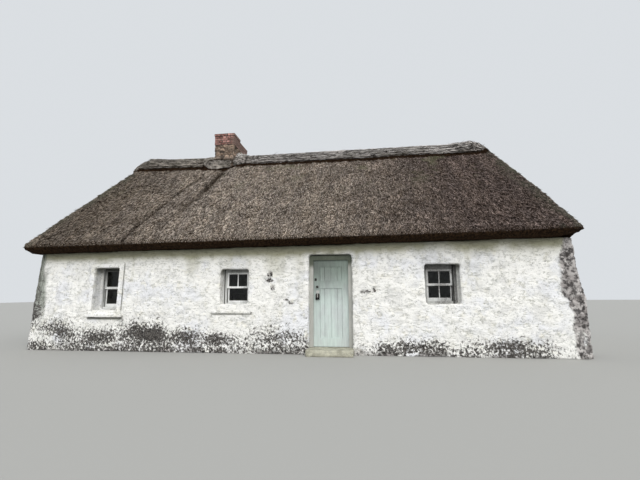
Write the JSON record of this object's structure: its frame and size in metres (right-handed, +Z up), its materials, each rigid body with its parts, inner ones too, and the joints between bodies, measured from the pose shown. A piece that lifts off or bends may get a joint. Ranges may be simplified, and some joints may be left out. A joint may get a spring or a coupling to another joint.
{
  "type": "thatched cottage",
  "caption": "Single-storey limewashed stone cottage with a thick thatched roof, steep ends, a chimney through the ridge, sash windows and a boarded front door that opens inwards.",
  "frame": {"origin": "middle of the bounding box at ground level, under the ridge", "axes": "+X to the right along the front, +Y from the front into the house, +Z up; the front faces -Y"},
  "size_m": [13.14, 6.06, 6.412],
  "materials": {
    "limewash": "matt flaking limewash over rubble stone, stained under the eaves",
    "thatch": "weathered reed thatch, matt, cut ends outward",
    "ridge_thatch": "older mossy thatch, matt",
    "glass": "thin old window glass",
    "sash_paint": "weathered white gloss paint on softwood",
    "door_frame_paint": "weathered grey-green paint on softwood",
    "door_paint": "pale grey-green paint, chalky",
    "iron": "black painted iron, rust in the joints",
    "step_stone": "worn grey stone slab",
    "floor_stone": "worn flags",
    "rubble": "rubble stone with lime mortar",
    "brick": "weathered red brick with lime mortar",
    "timber": "dark adzed timber"
  },
  "bodies": {
    "root": {"back_left_window_frame": "sash_paint", "back_left_window_glass": "glass", "back_left_window_sash": "sash_paint", "back_right_window_frame": "sash_paint", "back_right_window_glass": "glass", "back_right_window_sash": "sash_paint", "back_wall": "limewash", "chimney_breast": "limewash", "chimney_brick_head": "brick", "chimney_collar": "ridge_thatch", "chimney_stack": "rubble", "door_frame": "door_frame_paint", "doorstep": "step_stone", "floor": "floor_stone", "frame_hinge_lower": "iron", "frame_hinge_upper": "iron", "front_wall_left": "limewash", "front_wall_over_door": "limewash", "front_wall_right": "limewash", "left_end_wall": "limewash", "left_window_frame": "sash_paint", "left_window_lower_glass": "glass", "left_window_lower_sash": "sash_paint", "left_window_sill": "limewash", "left_window_surround": "limewash", "left_window_upper_glass": "glass", "left_window_upper_sash": "sash_paint", "middle_window_frame": "sash_paint", "middle_window_ledge": "limewash", "middle_window_lower_glass": "glass", "middle_window_lower_sash": "sash_paint", "middle_window_upper_glass": "glass", "middle_window_upper_sash": "sash_paint", "ridge_roll_left": "ridge_thatch", "ridge_roll_right": "ridge_thatch", "right_end_wall": "limewash", "right_window_frame": "sash_paint", "right_window_lower_glass": "glass", "right_window_lower_sash": "sash_paint", "right_window_upper_glass": "glass", "right_window_upper_sash": "sash_paint", "roof_couple_1": "timber", "roof_couple_2": "timber", "roof_couple_3": "timber", "roof_couple_4": "timber", "roof_couple_5": "timber", "thatch_back": "thatch", "thatch_front": "thatch", "thatch_left_end": "thatch", "thatch_right_end": "thatch"},
    "door": {"door_handle": "iron", "door_hinge_lower": "iron", "door_hinge_upper": "iron", "door_knob": "iron", "door_latch": "iron", "door_leaf": "door_paint"}
  },
  "joints": [
    {"name": "front_door", "type": "hinge", "parent": "root", "child": "door", "pos_m": [1.572, -2.447, 0.15], "axis": [0, 0, -1], "range_deg": [0, 95]}
  ]
}
